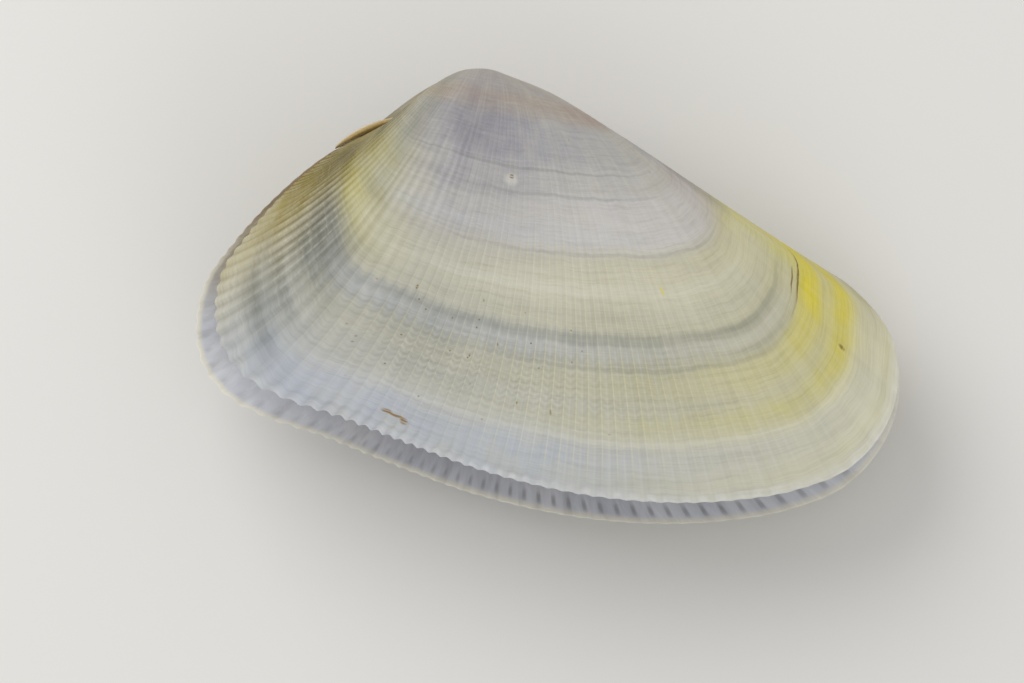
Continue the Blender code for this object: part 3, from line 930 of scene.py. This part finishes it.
def shell_outside(name, seed):
    paint = OutsidePaint(name, seed)
    paint.bands()
    paint.streaks()
    paint.groove_lines()
    paint.shade_grooves()
    paint.crests()
    paint.threads()
    paint.dirt()
    paint.frost_and_edge_highlight()
    grain = paint.noise_of((paint.arc, 6.0), (paint.size, 80.0), 11.0, detail=3.0)
    rough = paint.total(paint.rise(grain, 0.2, 0.8, 0.34, 0.50), paint.product(paint.groove, 0.10))
    relief = paint.total(
        paint.product(*paint.thread, 0.4),
        paint.product(paint.fine, 0.7),
        paint.product(paint.finer, 0.5),
        paint.product(paint.rays, 0.3),
        paint.product(*paint.pale_groove, -0.2),
        paint.product(grain, 0.3),
    )
    return paint.finish(rough, relief, 0.0000045)


def shell_inside(name, seed):
    """Polished, milky and lavender, with the muscle scars and the line where the mantle was held."""
    paint = ValvePaint(name, seed)
    size, arc = paint.size, paint.arc
    cloud = paint.noise_of((arc, 0.5), (size, 9.0), detail=3.0)
    streaks = paint.noise_of((arc, 4.0), (size, 30.0), 1.0, detail=3.0)
    rays = paint.noise_of((paint.phase, 1.0), (size, 6.0), 2.0)
    paint.colour = paint.mix(paint.rise(cloud, 0.3, 0.7), pigment("porcelain"), pigment("mist"))
    deep = paint.product(paint.rise(size, 0.80, 0.50), paint.rise(cloud, 0.25, 0.6, 0.4, 1.0))
    paint.cover(paint.product(deep, 0.6), "mauve")
    paint.cover(paint.product(paint.rise(size, 0.50, 0.25), 0.5), "honey")
    dorsal = paint.product(paint.rise(arc, 38.5, 41.5), paint.rise(size, 0.86, 0.95))
    paint.cover(paint.product(dorsal, 0.8), "buff")

    lip = paint.rise(size, 0.993, 0.999)
    paint.cover(paint.product(lip, 0.9), "lip")
    paint.cover(paint.product(paint.product(paint.rise(arc, 40.0, 43.0), lip), 0.8), "skin")
    # Painted shade in the pits between the teeth of the inner margin.
    pit = paint.product(
        paint.rise(paint.off_groove, 0.20, 0.05),
        paint.ramp(
            size, ((0.972, 0.0), (0.980, 0.35), (0.985, 0.9), (0.991, 1.0), (0.995, 0.1), (0.997, 0.0))
        ),
    )
    pitted = paint.along(
        (14, 0.0), (17, 0.6), (21, 1.0), (28, 1.0), (30, 0.5), (34, 0.2), (38, 0.2), (41, 0.0)
    )
    paint.cover(paint.product(paint.product(pit, pitted), 0.50), "pit_shade")

    front_scar = paint.mark(arc, size, (13.5, 0.66), 2.4, 0.085)
    rear_scar = paint.mark(arc, size, (37.5, 0.70), 2.6, 0.085)
    scars = paint.math("MAXIMUM", front_scar, rear_scar)
    mantle = paint.mark(arc, size, (25.5, 0.80), 12.0, 0.012)
    paint.cover(paint.product(scars, paint.rise(streaks, 0.2, 0.8, 0.3, 0.7)), "scar")
    paint.cover(paint.product(mantle, 0.5), "mantle")
    paint.darken(paint.rise(rays, 0.55, 0.30, 0.0, 0.25))
    rough = paint.total(paint.rise(streaks, 0.2, 0.8, 0.20, 0.32), paint.product(scars, -0.06))
    relief = paint.total(
        paint.product(cloud, 2.0),
        paint.product(streaks, 0.5),
        paint.product(scars, -2.0),
        paint.product(mantle, -1.5),
        rays,
    )
    return paint.finish(rough, relief, 0.000005)


def ligament_skin(name):
    """Dry, fibrous and horny: tan along the crest, ochre to brown at its borders."""
    paint = Paint(name)
    along, side, _ = paint.stored()
    fibres = paint.noise((along, 4.0), (side, 16.0), 1.0, detail=4.0, roughness=0.6)
    folds = paint.noise((along, 26.0), (side, 1.5), 4.0, detail=3.0)
    paint.colour = paint.mix(paint.rise(fibres, 0.3, 0.7), pigment("horn"), pigment("dry horn"))
    uneven = paint.product(paint.less(folds, 0.5), 0.5)
    border = paint.rise(paint.total(paint.math("ABSOLUTE", side), uneven), 0.66, 0.95)
    paint.cover(paint.product(border, 0.80), "border")
    paint.cover(paint.product(paint.rise(paint.off_centre(along), 0.42, 0.50), 0.6), "tip")
    paint.darken(paint.rise(folds, 0.50, 0.30, 0.0, 0.30), "crease")
    return paint.finish(paint.rise(fibres, 0.2, 0.8, 0.35, 0.6), paint.total(fibres, folds), 0.00002)


def build_floor():
    mesh = bpy.data.meshes.new("floor")
    h = FLOOR_HALF
    mesh.from_pydata([(-h, -h, 0), (h, -h, 0), (h, h, 0), (-h, h, 0)], [], [(0, 1, 2, 3)])
    floor = add_object("floor", mesh)
    paint = Paint("floor")
    paint.plug(paint.shader.inputs["Base Color"], pigment("floor"))
    paint.plug(paint.shader.inputs["Roughness"], 0.9)
    mesh.materials.append(paint.material)


def build_camera():
    opened = LYING @ Matrix.Rotation(-0.5 * GAPE, 3, "X")
    tilt = Matrix.Identity(3)
    for angle, axis in zip(VIEW_TILT, "XYZ"):
        tilt = tilt @ Matrix.Rotation(angle, 3, axis)
    facing = opened @ tilt.transposed()
    scale = MM / PIXELS_PER_MM
    width, height = PICTURE
    across = Vector(((width / 2 - HINGE_PIXEL[0]) * scale, -(height / 2 - HINGE_PIXEL[1]) * scale, 0.0))
    back = Vector((0.0, 0.0, CAMERA_DISTANCE))
    data = bpy.data.cameras.new("camera")
    data.type = "ORTHO"
    data.ortho_scale = width * scale
    data.clip_start, data.clip_end = 0.001, 2.0
    camera = add_object("camera", data)
    camera.matrix_world = Matrix.Translation(HINGE + facing @ (across + back)) @ facing.to_4x4()
    bpy.context.scene.camera = camera


def build_lights():
    world = bpy.data.worlds.new("studio")
    world.use_nodes = True
    background = world.node_tree.nodes["Background"]
    background.inputs["Color"].default_value = (1.0, 1.0, 1.0, 1.0)
    background.inputs["Strength"].default_value = SKY_STRENGTH
    bpy.context.scene.world = world
    for name, direction, distance, size, power in LIGHTS:
        data = bpy.data.lights.new(name, "AREA")
        data.shape = "DISK"
        data.size = size
        data.energy = power
        lamp = add_object(name, data)
        place = Vector(direction).normalized() * distance
        lamp.location = place
        lamp.rotation_mode = "QUATERNION"
        lamp.rotation_quaternion = place.to_track_quat("Z", "Y")


right = build_valve("right_valve_shell", False)
left = build_valve("left_valve_shell", True)
for valve, node, seed in ((right, "right_valve", 3.0), (left, "left_valve", 23.0)):
    valve.data.materials.append(shell_outside(node + "_outside", seed))
    valve.data.materials.append(shell_inside(node + "_inside", seed))
    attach(valve, "root")
    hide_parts(node)

band = build_ligament("ligament_band")
band.data.materials.append(ligament_skin("ligament_skin"))
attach(band, "root")
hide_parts("ligament")

build_floor()
build_camera()
build_lights()
bpy.context.scene.view_settings.view_transform = "Standard"
